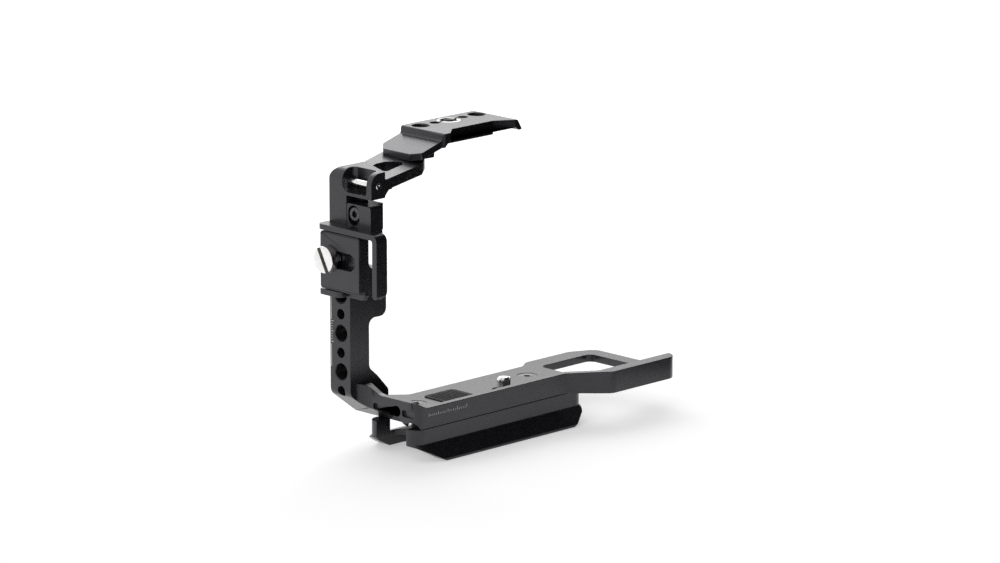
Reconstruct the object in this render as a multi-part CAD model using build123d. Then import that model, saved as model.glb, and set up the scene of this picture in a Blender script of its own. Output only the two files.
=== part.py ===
"""Half cage for a mirrorless camera, with a cable clamp and a dovetail foot.

The frame's origin is where the camera screw's axis meets the camera seat.
+X runs to the photographer's right (the grip), +Y to the lens, +Z up.
All sizes are in millimetres.
"""

import os

from build123d import *

os.makedirs("parts", exist_ok=True)

# ---- Threads and fits ----------------------------------------------------------
QUARTER_R = 6.35 / 2          # 1/4"-20 major radius
QUARTER_CHAMFER_R = 3.65      # lead-in countersink of the 1/4"-20 holes
PIN_R = 2.0                   # anti-twist pin holes, 4 mm
HOLE_PITCH = 7.5              # pin hole to threaded hole
M3_R = 1.5
M4_R = 2.0
RUN_FIT = 0.06                # radial clearance of the screws that turn
TOUCH = 0.05                  # gap between parts that slide on each other
PAST = 1.0                    # how far a cutter runs past the face it opens
FAR = 30.0                    # and past the end of a part

# ---- Base ----------------------------------------------------------------------
FLOOR_T = 3.0                 # floor under the camera, seat at z = 0
WALL_T = 2.6                  # thickness of the base's rims
BASE_LEFT = -59.9             # outer face of the left rim
BASE_REAR = -13.2             # outer face of the rear rim
BASE_FRONT = 26.0             # front edge, level with the side bar
LENS_FRONT = 20.5             # front edge under the lens mount
PAD_REAR = -26.0              # rear face of the pad under the grip
BASE_RIGHT = 70.6
REAR_RIM_TOP = 5.1
LEFT_RIM_TOP = 7.5
PAD_TOP = 5.7
RIM_RISE_TOP = 11.2           # where the left rim meets the side bar
DOOR_X = (35.5, 64.0)         # battery door window
DOOR_Y = (-17.0, 15.5)
RIM_POCKET_T = 1.2            # depth of the pockets in the left rim
ARCH_Y = (-13.4, -6.0)        # arch under the left rim, through to the foot
ARCH_TOP = -0.35
ARCH_RUN = 13.0
RELIEF_TOP = -1.3             # the arch widens under the floor up to here

# ---- Side bar ------------------------------------------------------------------
BAR_OUT = -66.9
BAR_IN = -56.9
BAR_REAR = 15.0
BAR_ROW_Y = 20.1              # line of the side holes
BAR_FOOT_Z = 6.8              # outer edge of the slanted foot
FOOT_RUN_X = -53.9            # where the slanted foot meets the bottom
FOOT_ROUND = 3.8              # rounding between the foot and the outer face
FOOT_FADE_Y = (-9.0, -2.0)    # where the slant fades out along the left rim
SIDE_THREADS_Z = (15.4, 30.4, 45.4, 60.4)
SIDE_PIN_T = 6.5              # depth of the pin holes in the bar
BOSS_IN = -47.9               # inner face of the boss beside the camera
BOSS_Z = (35.3, 54.3)

# ---- Corner block and arm ------------------------------------------------------
CORNER_REAR = 3.0
CORNER_BOTTOM = 84.3
CORNER_TOP = 94.3
NOTCH_Y = (5.7, 18.8)         # strap slot
NOTCH_BOTTOM = 85.6
NOTCH_WALL = -60.4
STRAP_PIN_R = 1.3
STRAP_PIN_X = -62.9
STRAP_PIN_Z = 89.1
STRAP_PIN_END = 22.2
ARM_BOTTOM = 87.2
ARM_REAR_TOP = 91.4           # arm top along its rear edge
ARM_TILT = 4.1                # the arm's top rises to the front, degrees
ARM_SWEEP = 0.361             # the arm runs forward by this per mm to the right
REACH = 300                   # larger than the cage

# ---- Top plate -----------------------------------------------------------------
TOP_Z = 101.6
TOP_LEFT = -20.2
TOP_RIGHT = 19.4
TOP_REAR = 11.7
TOP_FRONT = 35.6
TOP_T = 3.2                   # over the viewfinder hump
TOP_BLOCK_T = 7.4             # along the threaded holes
TOP_ROW_Y = 29.8              # line of the top holes
STEP_DOWN = 2.7               # from the top to the wing
WING_SLOPE = 0.296
WING_T = 2.7
WING_LEFT = -33.1
INSERT_R = 5.0                # steel thread insert
INSERT_FLANGE = 1.0           # width of its flange round its body
INSERT_FLANGE_T = 1.5

# ---- Quick release plate -------------------------------------------------------
QR_X = (-60.1, 30.5)
QR_NECK = 13.4                # half width of the neck
QR_TOP = -FLOOR_T
QR_FLARE_TOP = -8.9
QR_FLARE_LOW = -14.3
QR_BOTTOM = -15.3
QR_HALF = QR_NECK + QR_FLARE_TOP - QR_FLARE_LOW
QR_CORNER_R = 4.7
QR_LAND = 0.5                 # upright edge of the ends above their bevels
QR_LEFT_BEVEL = 11.3          # length of the bevel under the left end
QR_RIGHT_BEVEL = 10.4
QR_NOTCH_X = -47.9            # inner end of the notch in the left end
QR_NOTCH_HALF = 8.0
QR_CHANNEL_FLOOR = -7.6       # channel from the notch to the front
QR_CHANNEL_FALL_Y = 7.5       # from here its floor falls to the front
QR_CHANNEL_FRONT = -11.4
QR_CHANNEL_X = -31.4
QR_HOLLOW_X = -35.9           # hollow in the underside, up to here
QR_HOLLOW_HALF = 12.4
QR_HOLLOW_TOP = -10.0

# ---- Camera screw --------------------------------------------------------------
SCREW_STICK_OUT = 5.1         # thread above the seat
SCREW_THREAD_BELOW = 0.3      # and below it
SCREW_RELIEF = (4.6, 0.8)     # radius and depth of the relief round it in the seat
SCREW_NECK_R = 2.5
SCREW_WELL_R = 8.6
SCREW_WELL_TOP = -5.6
SCREW_HEAD_R = 8.0
SCREW_HEAD_T = 2.6
SCREW_WASHER_T = 0.7
RING_Z = (-14.75, -14.05)
RING_R = (7.4, 9.2)

# ---- Cable clamp ---------------------------------------------------------------
CLAMP_OUT = -72.6             # outer edge of the flange and leg
FLANGE_Z = (70.9, 73.1)
LEG_REAR = -5.6
LEG_T = 2.5
LEG_BOTTOM = 48.5
WEB_X = (-69.0, -67.0)
TAB_Y = (3.4, 16.3)
TAB_IN = -60.7
TAB_TOP = 81.6
CLAMP_SCREW_Y = 12.65
CLAMP_SCREW_Z = 77.6
CLAMP_HEAD = (2.75, 3.0)      # radius and height of the socket head
TAB_SEAT_T = 3.4              # its seat's depth in the tab
JAW_X = (-72.4, -69.1)
JAW_Y = (4.0, 25.4)
JAW_Z = (48.4, 70.5)
JAW_SLOT_Y = (6.4, 23.5)
JAW_SLOT_R = 3.3
THUMB_Z = 60.4                # thumbscrew axis, in the highest side hole
THUMB_FACE = -76.0            # outer face of the thumbscrew's head
THUMB_HEAD_R = 5.15
THUMB_WASHER_T = 0.5
THUMB_SLOT_TILT = 27.5        # screwdriver slot from upright, degrees
THUMB_SLOT = (1.8, 1.5)       # width and depth of that slot
LEG_ROUND = 3.0               # lower inner corner of the leg


# ---- Hidden fasteners ----------------------------------------------------------
TOP_SCREWS = ((-27.4, 21.2), (-26.4, 30.6))
PLATE_SCREWS = ((-38.0, -9.0), (-38.0, 9.0), (22.0, -9.0), (22.0, 9.0))
PLATE_DOWELS = ((-26.0, 0.0), (20.0, 0.0))
M3_HEAD_R = 3.1
M3_HEAD_T = 1.6
M4_HEAD_R = 4.05
M4_HEAD_LOW = -2.2
M4_HEAD_TOP = -0.15           # just under the seat
PLATE_SCREW_END = -9.5
DOWEL_Z = (-7.0, -1.0)

# ---- Rubber pads ---------------------------------------------------------------
SEAT_PADS = {"seat_pad_left": (-54.0, -45.0), "seat_pad_right": (-30.0, -14.0)}
SEAT_PAD_Y = (-8.0, 14.0)
PAD_T = 0.6
SIDE_PAD_T = 0.8


# ---- Helpers -------------------------------------------------------------------
def block(xs, ys, zs):
    """Box between two corners, given as three (low, high) pairs."""
    centre = [(low + high) / 2 for low, high in (xs, ys, zs)]
    size = [high - low for low, high in (xs, ys, zs)]
    return Pos(*centre) * Box(*size)


def outline(corners):
    """Closed flat face through (a, b, radius) corners."""
    points = [(a, b) for a, b, _ in corners]
    radii = [radius for _, _, radius in corners]
    return make_face(FilletPolyline(*points, radius=radii, close=True))


def along_z(corners, low, high):
    """Prism over an (x, y, radius) outline."""
    return extrude(Pos(0, 0, low) * outline(corners), amount=high - low, dir=(0, 0, 1))


def along_x(corners, low, high):
    """Prism over a (y, z, radius) outline."""
    face = Plane.YZ.offset(low) * outline(corners)
    return extrude(face, amount=high - low, dir=(1, 0, 0))


def along_y(corners, low, high):
    """Prism over an (x, z, radius) outline."""
    face = Plane.XZ.offset(-low) * outline(corners)
    return extrude(face, amount=high - low, dir=(0, 1, 0))


def frame_box(xs, ys, radius):
    """Rectangle outline with equal corner radii."""
    return [(x, y, radius) for x, y in ((xs[0], ys[0]), (xs[1], ys[0]), (xs[1], ys[1]), (xs[0], ys[1]))]


def rod_x(radius, low, high, y, z):
    """Cylinder along X."""
    return Pos((low + high) / 2, y, z) * Rot(0, 90, 0) * Cylinder(radius, high - low)


def rod_y(radius, low, high, x, z):
    """Cylinder along Y."""
    return Pos(x, (low + high) / 2, z) * Rot(90, 0, 0) * Cylinder(radius, high - low)


def rod_z(radius, low, high, x, y):
    """Cylinder along Z."""
    return Pos(x, y, (low + high) / 2) * Cylinder(radius, high - low)


def cone_z(low_r, high_r, low, high, x, y):
    """Cone along Z from its low radius to its high one."""
    return Pos(x, y, (low + high) / 2) * Cone(low_r, high_r, high - low)


def save(name, part):
    """Writes one piece to its own STEP file."""
    part.label = name
    export_step(part, f"parts/{name}.step")
    print(f"{name}: {part.volume:.0f} mm3")


# ---- Shared shapes -------------------------------------------------------------
def arm_level():
    """Plane of the arm's gently tilted top face."""
    direction = Vector(1, ARM_SWEEP, 0).normalized()
    level = Plane(origin=(BAR_OUT, 0, ARM_REAR_TOP), x_dir=direction, z_dir=(0, 0, 1))
    return level * Rot(ARM_TILT, 0, 0)


def above_arm():
    """Everything above the arm's top face."""
    return arm_level() * Box(REACH, REACH, REACH, align=(Align.CENTER, Align.CENTER, Align.MIN))


def below_arm_top():
    """Everything below the arm's top face."""
    return arm_level() * Box(REACH, REACH, REACH, align=(Align.CENTER, Align.CENTER, Align.MAX))


def hex_socket(flats, depth):
    """Hexagonal socket cutter, mouth at z = 0, going down."""
    return extrude(RegularPolygon(flats / 2, 6, major_radius=False), amount=-depth)


# ---- Cage frame: base, side bar and arm in one machined piece ------------------
def foot_slope():
    """Space cut away under the bar's rounded foot, fading out along the left rim."""
    run = FOOT_RUN_X - BAR_OUT
    slope = (BAR_FOOT_Z + FLOOR_T) / run
    face = [
        (BAR_OUT - run, BAR_FOOT_Z + FOOT_ROUND, 0),
        (BAR_OUT, BAR_FOOT_Z + FOOT_ROUND, 0),
        (BAR_OUT, BAR_FOOT_Z, FOOT_ROUND),
        (FOOT_RUN_X + run, -FLOOR_T - slope * run, 0),
        (BAR_OUT - run, -FLOOR_T - slope * run, 0),
    ]
    fade_end, fade_start = FOOT_FADE_Y
    full = along_y(face, fade_start, BASE_FRONT + PAST)
    rim_z = BAR_FOOT_Z - slope * (BASE_LEFT - BAR_OUT)
    edge, under = BASE_LEFT - 0.01, -FLOOR_T - 0.01
    start = Polyline((edge, rim_z), (edge, under), (FOOT_RUN_X, under), close=True)
    end = Polyline((edge, -FLOOR_T + 0.3), (edge, under), (BASE_LEFT + 0.4, under), close=True)
    first = make_face(Plane.XZ.offset(-fade_start) * start)
    last = make_face(Plane.XZ.offset(-fade_end) * end)
    return full + loft([first, last])


def base_outline():
    """Plan of the base, counter-clockwise from its rear left corner."""
    pad_left = 20.6
    swing = BASE_REAR - PAD_REAR
    return [
        (BASE_LEFT, BASE_REAR, 4.0),
        (pad_left, BASE_REAR, 5.0),
        (pad_left + swing, PAD_REAR, 5.0),
        (BASE_RIGHT, PAD_REAR, 5.6),
        (BASE_RIGHT, 19.0, 5.0),
        (60.0, 24.0, 6.0),
        (36.0, 24.0, 4.0),
        (31.0, LENS_FRONT, 4.0),
        (-31.0, LENS_FRONT, 4.0),
        (-37.0, BASE_FRONT, 4.0),
        (BAR_OUT, BASE_FRONT, 0),
        (BAR_OUT, BAR_REAR, 0),
        (BASE_LEFT, BAR_REAR, 5.0),
    ]


def base_body():
    """Floor with its rims, the pad under the grip and the battery door window."""
    body = along_z(base_outline(), -FLOOR_T, RIM_RISE_TOP)
    inner = [
        (BASE_LEFT + WALL_T, BASE_REAR + WALL_T, 1.6),
        (21.7, BASE_REAR + WALL_T, 4.0),
        (31.5, PAD_REAR + 5.4, 4.0),
        (BASE_RIGHT + 5, PAD_REAR + 5.4, 0),
        (BASE_RIGHT + 5, BASE_FRONT + 5, 0),
        (BASE_LEFT + WALL_T, BASE_FRONT + 5, 0),
    ]
    body -= along_z(inner, 0, RIM_RISE_TOP + PAST)
    rim = [
        (BASE_REAR - 20, RIM_RISE_TOP + 5, 0),
        (BASE_REAR - 20, LEFT_RIM_TOP, 0),
        (6.5, LEFT_RIM_TOP, 8.0),
        (BAR_REAR + 0.01, RIM_RISE_TOP, 0),
        (BAR_REAR + 0.01, RIM_RISE_TOP + 5, 0),
    ]
    body -= along_x(rim, BAR_OUT - PAST, BASE_LEFT + 2 * WALL_T)
    rear = [
        (BASE_LEFT - PAST, LEFT_RIM_TOP, 0),
        (BASE_LEFT + 1.2, LEFT_RIM_TOP, 3.0),
        (BASE_LEFT + 5.6, REAR_RIM_TOP, 6.0),
        (22.0, REAR_RIM_TOP, 6.0),
        (32.0, PAD_TOP, 6.0),
        (BASE_RIGHT + 5, PAD_TOP, 0),
        (BASE_RIGHT + 5, RIM_RISE_TOP + 5, 0),
        (BASE_LEFT - PAST, RIM_RISE_TOP + 5, 0),
    ]
    body -= along_y(rear, PAD_REAR - PAST, BASE_REAR + WALL_T + 0.01)
    door = frame_box(DOOR_X, DOOR_Y, 3.0)
    return body - along_z(door, -FLOOR_T - PAST, RIM_RISE_TOP)


def left_rim_cuts():
    """Pockets and screw hole in the left rim, and the arch that runs in under the floor."""
    outside, inside = BASE_LEFT - PAST, BASE_LEFT + WALL_T + PAST
    floor = BASE_LEFT + RIM_POCKET_T
    cuts = along_x(frame_box((0.0, 10.0), (1.6, 4.0), 1.0), outside, floor)
    cuts += along_x(frame_box((-11.6, -5.7), (1.5, 4.1), 1.0), outside, floor)
    hole_y, hole_z, lead = -2.8, 3.0, 0.5
    cuts += rod_x(M3_R, outside, inside, hole_y, hole_z)
    cuts += Pos(BASE_LEFT + 0.15, hole_y, hole_z) * Rot(0, 90, 0) * Cone(M3_R + lead, M3_R, lead)
    arch = [
        (ARCH_Y[0], -FLOOR_T - PAST, 0),
        (ARCH_Y[1], -FLOOR_T - PAST, 0),
        (ARCH_Y[1] - 1.2, ARCH_TOP, 2.2),
        (ARCH_Y[0] + 1.2, ARCH_TOP, 2.2),
    ]
    cuts += along_x(arch, outside, BASE_LEFT + ARCH_RUN)
    relief = frame_box((BASE_LEFT + WALL_T, BASE_LEFT + ARCH_RUN), (ARCH_Y[1] - 2.0, -1.0), 1.5)
    return cuts + along_z(relief, -FLOOR_T - PAST, RELIEF_TOP)


def side_bar():
    """Upright bar with the boss beside the camera, the gusset and the screw ear."""
    bar = block((BAR_OUT, BAR_IN), (BAR_REAR, BASE_FRONT), (-FLOOR_T, CORNER_BOTTOM + PAST))
    inside = [
        (BAR_IN - 2, 0.0, 0),
        (BAR_IN - 2, 120.0, 0),
        (BAR_IN, 120.0, 0),
        (BAR_IN, BOSS_Z[1], 3.0),
        (BOSS_IN, BOSS_Z[1], 3.0),
        (BOSS_IN, BOSS_Z[0], 3.0),
        (BAR_IN, BOSS_Z[0], 3.0),
        (BAR_IN, 16.2, 3.0),
        (-52.7, 12.6, 0),
        (-46.9, 6.3, 2.0),
        (-46.9, 0.0, 0),
    ]
    reach = block((BAR_OUT, 0), (BAR_REAR, BASE_FRONT), (-FLOOR_T, ARM_BOTTOM + PAST))
    bar += along_y(inside, BAR_REAR, BASE_FRONT) & reach
    bar += block((TAB_IN + 0.1, BAR_IN), (7.0, BAR_REAR + PAST), (71.3, 81.5))
    bar -= block((BAR_OUT - PAST, TAB_IN + 0.1), (BAR_REAR - PAST, TAB_Y[1] + 0.3), (70.5, CORNER_BOTTOM))
    return bar


def corner_block():
    """Block on top of the bar, rounded to the outside and the front."""
    plan = [
        (BAR_OUT, CORNER_REAR, 0),
        (-59.6, CORNER_REAR, 0),
        (-50.3, BASE_FRONT, 0),
        (BAR_OUT, BASE_FRONT, 0),
    ]
    body = along_z(plan, CORNER_BOTTOM, CORNER_TOP)
    top_edges = body.faces().sort_by(Axis.Z)[-1].edges()
    outer = top_edges.filter_by(Axis.Y).sort_by(Axis.X)[0]
    front = top_edges.filter_by(Axis.X).sort_by(Axis.Y)[-1]
    return fillet([outer, front], 4.6)


def strap_slot():
    """Strap slot across the block's outer top edge, with the pin's hole."""
    slot = [
        (NOTCH_Y[0], NOTCH_BOTTOM, 1.2),
        (NOTCH_Y[1], NOTCH_BOTTOM, 3.6),
        (NOTCH_Y[1], CORNER_TOP + 3, 0),
        (NOTCH_Y[0], CORNER_TOP + 3, 0),
    ]
    cut = along_x(slot, BAR_OUT - PAST, NOTCH_WALL)
    cut = fillet(cut.edges().filter_by(Axis.Z).group_by(Axis.X)[-1], 2.4)
    return cut + rod_y(STRAP_PIN_R, CORNER_REAR - PAST, STRAP_PIN_END, STRAP_PIN_X, STRAP_PIN_Z)


def arm():
    """Arm from the corner block to the tongue under the top plate."""
    plan = [
        (-62.0, CORNER_REAR, 0),
        (-58.4, CORNER_REAR, 0),
        (-30.7, 13.0, 0),
        (-22.4, 20.0, 2.0),
        (-22.4, TOP_FRONT - 0.2, 3.0),
        (-29.7, TOP_FRONT - 0.2, 3.0),
        (-50.3, BASE_FRONT, 0),
        (-62.0, BASE_FRONT, 0),
    ]
    body = along_z(plan, ARM_BOTTOM, CORNER_TOP + PAST) - above_arm()
    pocket = [
        (-52.9, 11.0, 2.2),
        (-37.3, 16.6, 1.6),
        (-34.4, 20.4, 1.2),
        (-40.6, 23.2, 2.0),
        (-46.4, 22.3, 3.0),
        (-51.0, 19.6, 2.0),
    ]
    return body - along_z(pocket, ARM_BOTTOM - PAST, CORNER_TOP + 2)


def arm_root():
    """Fillet between the corner block's underside and the arm."""
    corner = [
        (-61.5, CORNER_BOTTOM, 0),
        (-60.2, CORNER_BOTTOM, 0.8),
        (-57.6, ARM_BOTTOM, 1.6),
        (-56.0, ARM_BOTTOM, 0),
        (-56.0, ARM_BOTTOM + PAST, 0),
        (-61.5, ARM_BOTTOM + PAST, 0),
    ]
    return along_y(corner, CORNER_REAR, BASE_FRONT)


def cage_frame():
    """The machined frame."""
    body = base_body() + side_bar() + corner_block() + arm() + arm_root()
    body -= strap_slot()
    body -= foot_slope()
    body -= left_rim_cuts()
    lead = QUARTER_CHAMFER_R - QUARTER_R
    mouth = Rot(0, 90, 0) * Cone(QUARTER_CHAMFER_R, QUARTER_R, lead)
    for z in SIDE_THREADS_Z:
        body -= rod_x(QUARTER_R, BAR_OUT - PAST, BOSS_IN + PAST, BAR_ROW_Y, z)
        body -= Pos(BAR_OUT + lead / 2, BAR_ROW_Y, z) * mouth
        for side in (-1, 1):
            body -= rod_x(PIN_R, BAR_OUT - PAST, BAR_OUT + SIDE_PIN_T, BAR_ROW_Y, z + side * HOLE_PITCH)
    body -= rod_x(M3_R, TAB_IN - PAST, BAR_IN + PAST, CLAMP_SCREW_Y, CLAMP_SCREW_Z)
    relief_r, relief_t = SCREW_RELIEF
    body -= rod_z(QUARTER_R + RUN_FIT, -FLOOR_T - PAST, PAST, 0, 0)
    body -= rod_z(relief_r, -relief_t, PAST, 0, 0)
    for x, y in PLATE_SCREWS:
        body -= rod_z(M4_R, -FLOOR_T - PAST, PAST, x, y)
        body -= cone_z(M4_R, M4_HEAD_R, M4_HEAD_LOW, M4_HEAD_TOP, x, y)
        body -= rod_z(M4_HEAD_R, M4_HEAD_TOP, PAST, x, y)
    for x, y in PLATE_DOWELS:
        body -= rod_z(PIN_R, -FLOOR_T - PAST, DOWEL_Z[1] + 0.3, x, y)
    for x, y in TOP_SCREWS:
        body -= rod_z(M3_R, ARM_BOTTOM - PAST, CORNER_TOP + PAST, x, y)
        body -= cone_z(M3_HEAD_R, M3_R, ARM_BOTTOM, ARM_BOTTOM + M3_HEAD_T, x, y)
    return body


# ---- Top plate -----------------------------------------------------------------
def wing_top(x):
    """Height of the sloping wing at x."""
    return TOP_Z - STEP_DOWN - 0.2 + WING_SLOPE * (x - TOP_LEFT)


def top_plate():
    """Plate over the viewfinder hump with the wing that sits on the arm."""
    plan = [
        (WING_LEFT, 17.2, 1.5),
        (-30.7, 13.0, 1.0),
        (TOP_LEFT, 13.0, 0),
        (TOP_LEFT + 0.6, TOP_REAR, 0),
        (-16.8, TOP_REAR, 0.8),
        (-11.2, 16.6, 1.0),
        (10.6, 16.6, 1.0),
        (18.2, TOP_REAR, 0.8),
        (TOP_RIGHT + 4, TOP_REAR, 0),
        (TOP_RIGHT + 4, TOP_FRONT, 3.0),
        (-29.5, TOP_FRONT, 1.5),
        (WING_LEFT, 31.9, 1.5),
    ]
    step_foot = wing_top(TOP_LEFT)
    section = [
        (TOP_LEFT, TOP_Z, 1.2),
        (TOP_RIGHT, TOP_Z, 1.6),
        (TOP_RIGHT + 2.5, TOP_Z - 4.3, 0.4),
        (TOP_RIGHT + 0.6, TOP_Z - 4.3, 0.4),
        (TOP_RIGHT - 1.0, TOP_Z - TOP_T, 1.0),
        (TOP_LEFT + 3, TOP_Z - TOP_T, 1.0),
        (TOP_LEFT + 0.5, step_foot - WING_T, 1.0),
        (WING_LEFT - 2, wing_top(WING_LEFT - 2) - WING_T, 0),
        (WING_LEFT - 2, wing_top(WING_LEFT - 2), 0),
        (TOP_LEFT, step_foot, 1.0),
    ]
    body = along_z(plan, TOP_Z - 15, TOP_Z + PAST) & along_y(section, TOP_REAR - PAST, TOP_FRONT + PAST)
    rib = frame_box((TOP_LEFT + PAST, TOP_RIGHT - PAST), (23.0, TOP_FRONT - 0.6), 2.0)
    body += along_z(rib, TOP_Z - TOP_BLOCK_T, TOP_Z - 1.5)
    seat_plan = [
        (-31.2, 18.0, 2.0),
        (TOP_LEFT + 2, 18.0, 2.0),
        (TOP_LEFT + 2, TOP_FRONT - 0.9, 2.0),
        (-29.4, TOP_FRONT - 0.9, 2.0),
        (-31.2, 31.6, 1.0),
    ]
    under = [
        (WING_LEFT, ARM_BOTTOM, 0),
        (TOP_LEFT + 4, ARM_BOTTOM, 0),
        (TOP_LEFT + 4, step_foot - 1, 0),
        (TOP_LEFT, step_foot - 1, 0),
        (WING_LEFT, wing_top(WING_LEFT) - 1, 0),
    ]
    body += along_z(seat_plan, ARM_BOTTOM, TOP_Z) & along_y(under, 0, TOP_FRONT + PAST)
    body -= below_arm_top()
    for x in (-2 * HOLE_PITCH, 2 * HOLE_PITCH):
        body -= rod_z(QUARTER_R, TOP_Z - 12, TOP_Z + PAST, x, TOP_ROW_Y)
        lead = QUARTER_CHAMFER_R - QUARTER_R
        body -= cone_z(QUARTER_R, QUARTER_CHAMFER_R, TOP_Z - lead, TOP_Z, x, TOP_ROW_Y)
    for x in (-HOLE_PITCH, HOLE_PITCH):
        body -= rod_z(PIN_R, TOP_Z - 5.0, TOP_Z + PAST, x, TOP_ROW_Y)
    body -= rod_z(INSERT_R, TOP_Z - INSERT_FLANGE_T, TOP_Z + PAST, 0, TOP_ROW_Y)
    body -= rod_z(INSERT_R - INSERT_FLANGE, TOP_Z - 12, TOP_Z, 0, TOP_ROW_Y)
    for x, y in TOP_SCREWS:
        body -= rod_z(M3_R, ARM_BOTTOM, wing_top(x) - 1.0, x, y)
    return body


def thread_insert():
    """Steel bushing with the middle 1/4"-20 thread and two wrench slots."""
    body = rod_z(INSERT_R, TOP_Z - INSERT_FLANGE_T, TOP_Z, 0, TOP_ROW_Y)
    body = chamfer(body.edges().group_by(Axis.Z)[-1], 0.3)
    body += rod_z(INSERT_R - INSERT_FLANGE, TOP_Z - TOP_BLOCK_T, TOP_Z - 1.4, 0, TOP_ROW_Y)
    body -= rod_z(QUARTER_R, TOP_Z - 12, TOP_Z + PAST, 0, TOP_ROW_Y)
    slot_half, slot_t = 0.7, 0.8
    slot_y = (TOP_ROW_Y - slot_half, TOP_ROW_Y + slot_half)
    return body - block((-INSERT_R - PAST, INSERT_R + PAST), slot_y, (TOP_Z - slot_t, TOP_Z + PAST))


# ---- Quick release plate -------------------------------------------------------
def end_bevel(end, outward, run):
    """Wedge cut away under one end of the foot, so that it slides into a clamp."""
    high = QR_FLARE_TOP - QR_LAND
    slope = (high - QR_BOTTOM) / run
    wedge = [
        (end + outward * run, high + slope * run, 0),
        (end - outward * 2 * run, QR_BOTTOM - slope * run, 0),
        (end + outward * run, QR_BOTTOM - slope * run, 0),
    ]
    room = block((QR_X[0] - FAR, QR_X[1] + FAR), (-FAR, FAR), (-FAR, QR_FLARE_TOP))
    return along_y(wedge, -QR_HALF - PAST, QR_HALF + PAST) & room


def dovetail():
    """Flared lower half of the foot, with conical corners under the neck's round ones."""
    flare_t = QR_FLARE_TOP - QR_FLARE_LOW
    top = outline(frame_box(QR_X, (-QR_NECK, QR_NECK), QR_CORNER_R))
    low_x = (QR_X[0] - flare_t, QR_X[1] + flare_t)
    low = outline(frame_box(low_x, (-QR_HALF, QR_HALF), QR_CORNER_R + flare_t))
    flare = loft([Pos(0, 0, QR_FLARE_TOP) * top, Pos(0, 0, QR_FLARE_LOW) * low], ruled=True)
    flare += extrude(Pos(0, 0, QR_BOTTOM) * low, amount=QR_FLARE_LOW - QR_BOTTOM, dir=(0, 0, 1))
    return flare & block(QR_X, (-QR_HALF, QR_HALF), (QR_BOTTOM, QR_FLARE_TOP))


def finger_channel():
    """Channel from the notch to the front edge, its floor falling to the front."""
    plan = [
        (QR_NOTCH_X - 5, -QR_NOTCH_HALF, 0),
        (-42.0, -QR_NOTCH_HALF, 3.0),
        (QR_CHANNEL_X, 2.0, 3.0),
        (QR_CHANNEL_X, QR_HALF, 0),
        (QR_NOTCH_X + 2, QR_HALF, 0),
        (QR_NOTCH_X - 5, QR_NOTCH_HALF, 0),
    ]
    floor = [
        (-QR_HALF, QR_TOP + PAST, 0),
        (-QR_HALF, QR_CHANNEL_FLOOR, 0),
        (QR_CHANNEL_FALL_Y, QR_CHANNEL_FLOOR, 6.0),
        (QR_HALF + PAST, QR_CHANNEL_FRONT, 0),
        (QR_HALF + PAST, QR_TOP + PAST, 0),
    ]
    return along_z(plan, QR_BOTTOM, QR_TOP + PAST) & along_x(floor, QR_X[0], QR_X[1])


def quick_release_plate():
    """Dovetail foot with a notched left end."""
    body = along_z(frame_box(QR_X, (-QR_NECK, QR_NECK), QR_CORNER_R), QR_BOTTOM, QR_TOP)
    body += dovetail()
    left, right = QR_X
    body -= end_bevel(left, -1, QR_LEFT_BEVEL)
    body -= end_bevel(right, 1, QR_RIGHT_BEVEL)
    notch = [
        (left - PAST, -QR_NOTCH_HALF, 0),
        (QR_NOTCH_X, -QR_NOTCH_HALF, 5.0),
        (QR_NOTCH_X, QR_NOTCH_HALF, 5.0),
        (left - PAST, QR_NOTCH_HALF, 0),
    ]
    body -= along_z(notch, QR_BOTTOM - PAST, QR_TOP + PAST)
    body -= finger_channel()
    hollow = frame_box((left - FAR, QR_HOLLOW_X), (-QR_HOLLOW_HALF, QR_HOLLOW_HALF), 6.0)
    body -= along_z(hollow, QR_BOTTOM - PAST, QR_HOLLOW_TOP)
    body -= rod_z(QUARTER_R + RUN_FIT, QR_BOTTOM - PAST, 0, 0, 0)
    body -= rod_z(SCREW_WELL_R, QR_BOTTOM - PAST, SCREW_WELL_TOP, 0, 0)
    body -= rod_z(RING_R[1], *RING_Z, 0, 0)
    for x, y in PLATE_SCREWS:
        body -= rod_z(M4_R, PLATE_SCREW_END - 2.5, 0, x, y)
    for x, y in PLATE_DOWELS:
        body -= rod_z(PIN_R, DOWEL_Z[0] - 0.5, 0, x, y)
    return body


def plate_screw(x, y):
    """Countersunk M4 screw through the floor into the quick release plate."""
    body = rod_z(M4_R, PLATE_SCREW_END, M4_HEAD_LOW, x, y)
    body += cone_z(M4_R, M4_HEAD_R, M4_HEAD_LOW, M4_HEAD_TOP, x, y)
    return body - Pos(x, y, M4_HEAD_TOP) * hex_socket(2.5, 1.4)


def plate_dowel(x, y):
    """Locating dowel between the floor and the quick release plate."""
    return chamfer(rod_z(PIN_R, *DOWEL_Z, x, y).edges(), 0.3)


def top_plate_screw(x, y):
    """Countersunk M3 screw up through the arm's tongue into the wing."""
    body = rod_z(M3_R, ARM_BOTTOM + M3_HEAD_T, wing_top(x) - 2.0, x, y)
    body += cone_z(M3_HEAD_R, M3_R, ARM_BOTTOM, ARM_BOTTOM + M3_HEAD_T, x, y)
    return body - Pos(x, y, ARM_BOTTOM) * Rot(180, 0, 0) * hex_socket(2.0, 1.1)


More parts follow.
